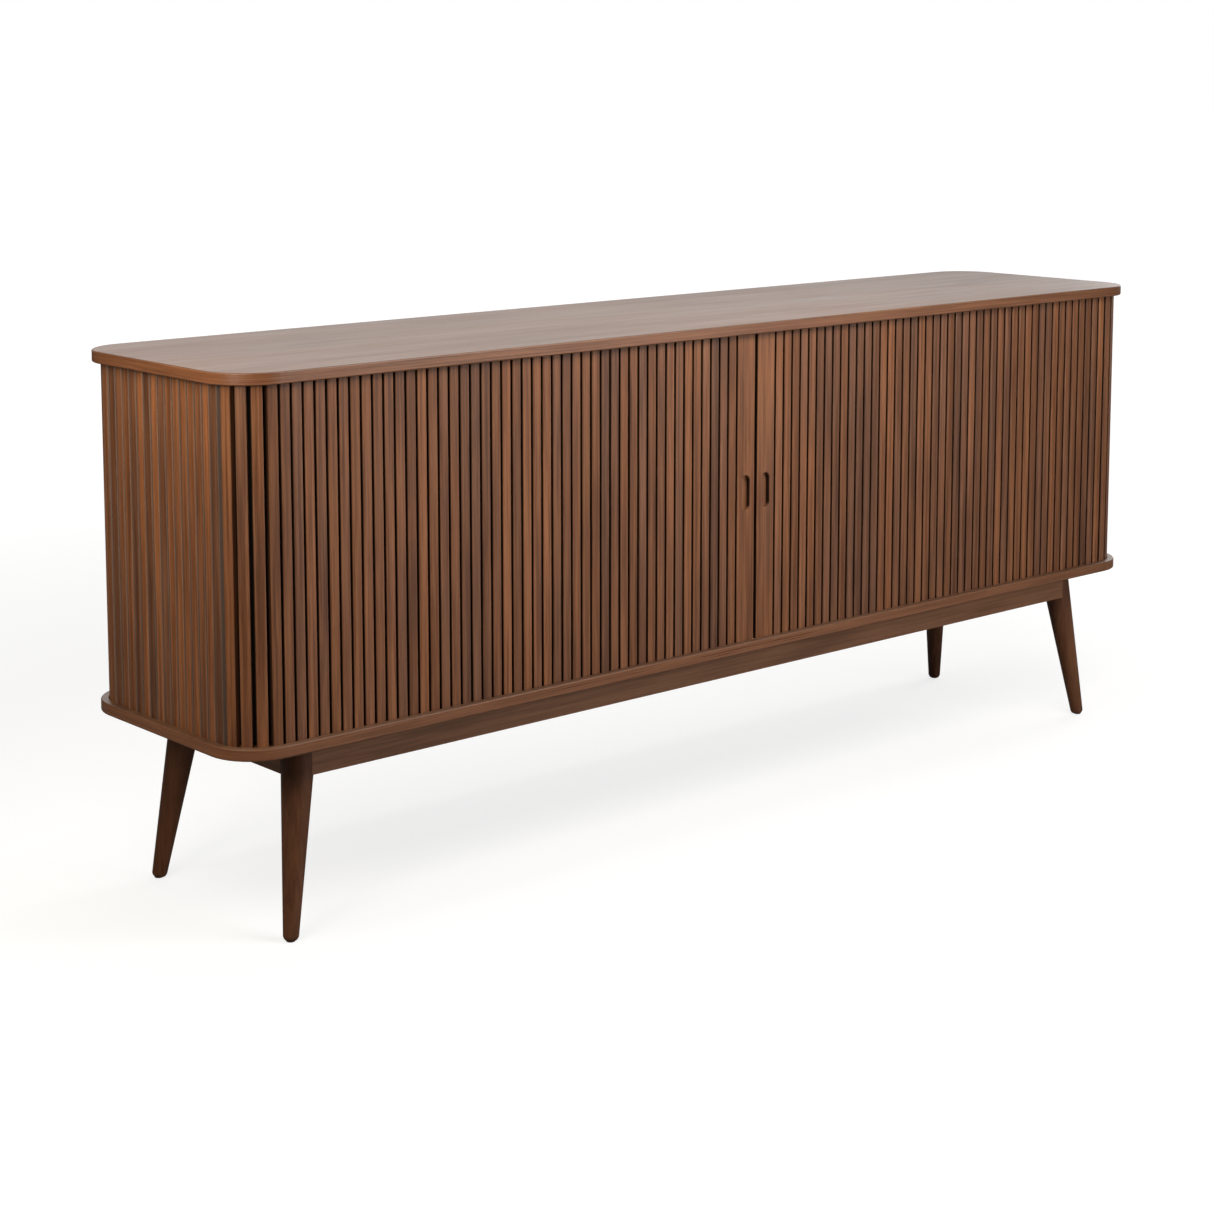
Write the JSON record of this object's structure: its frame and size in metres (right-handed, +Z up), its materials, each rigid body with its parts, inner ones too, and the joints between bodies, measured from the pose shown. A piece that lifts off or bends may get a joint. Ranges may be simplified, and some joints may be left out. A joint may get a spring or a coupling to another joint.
{
  "type": "tambour door sideboard",
  "caption": "Low walnut sideboard with rounded corners, slatted tambour doors that part at the middle, shelves inside, and a splayed tapered-leg frame.",
  "frame": {"origin": "on the floor, under the middle of the cabinet", "axes": "+X along the front to the right, the front faces -Y, +Z up"},
  "size_m": [1.8, 0.39, 0.738],
  "materials": {
    "walnut_boards": "walnut veneer under a satin lacquer",
    "walnut_slats": "walnut strips, stained, satin",
    "walnut_frame": "turned and planed hardwood, dark walnut stain, satin",
    "walnut_panels": "thin walnut-faced plywood, satin",
    "beech": "plain planed beech",
    "canvas": "tight black cotton canvas",
    "steel": "zinc-plated steel",
    "nylon": "dark moulded nylon"
  },
  "bodies": {
    "carcass": {"bottom_board": "walnut_boards", "top_board": "walnut_boards", "inner_side_left": "walnut_boards", "inner_side_right": "walnut_boards", "centre_divider": "walnut_boards", "shelf_left": "walnut_boards", "shelf_right": "walnut_boards", "shelf_pins": "steel", "dowels": "beech", "inner_back_left": "walnut_panels", "inner_back_right": "walnut_panels", "back_panel": "walnut_panels", "back_screws": "steel", "tail_slats_left": "walnut_slats", "tail_slats_right": "walnut_slats", "tail_cloth_left": "canvas", "tail_cloth_right": "canvas", "seam_stops": "beech", "leg_front_left": "walnut_frame", "leg_front_right": "walnut_frame", "leg_back_left": "walnut_frame", "leg_back_right": "walnut_frame", "front_rail": "walnut_frame", "back_rail": "walnut_frame", "end_rail_left": "walnut_frame", "end_rail_right": "walnut_frame", "cross_brace": "beech", "corner_blocks": "beech", "leg_bolts": "steel", "frame_screws": "steel", "foot_glides": "nylon"},
    "left_door": {"lead_slat_left": "walnut_slats", "near_slats_left": "walnut_slats", "near_cloth_left": "canvas", "front_slats_left": "walnut_slats", "front_cloth_left": "canvas"},
    "right_door": {"lead_slat_right": "walnut_slats", "near_slats_right": "walnut_slats", "near_cloth_right": "canvas", "front_slats_right": "walnut_slats", "front_cloth_right": "canvas"}
  },
  "joints": [
    {"name": "left_door_slide", "type": "slide", "parent": "carcass", "child": "left_door", "axis": [-1, 0, 0], "range_m": [0, 0.7525], "deforming": ["front_slats_left", "front_cloth_left"]},
    {"name": "right_door_slide", "type": "slide", "parent": "carcass", "child": "right_door", "axis": [1, 0, 0], "range_m": [0, 0.7525], "deforming": ["front_slats_right", "front_cloth_right"]}
  ]
}
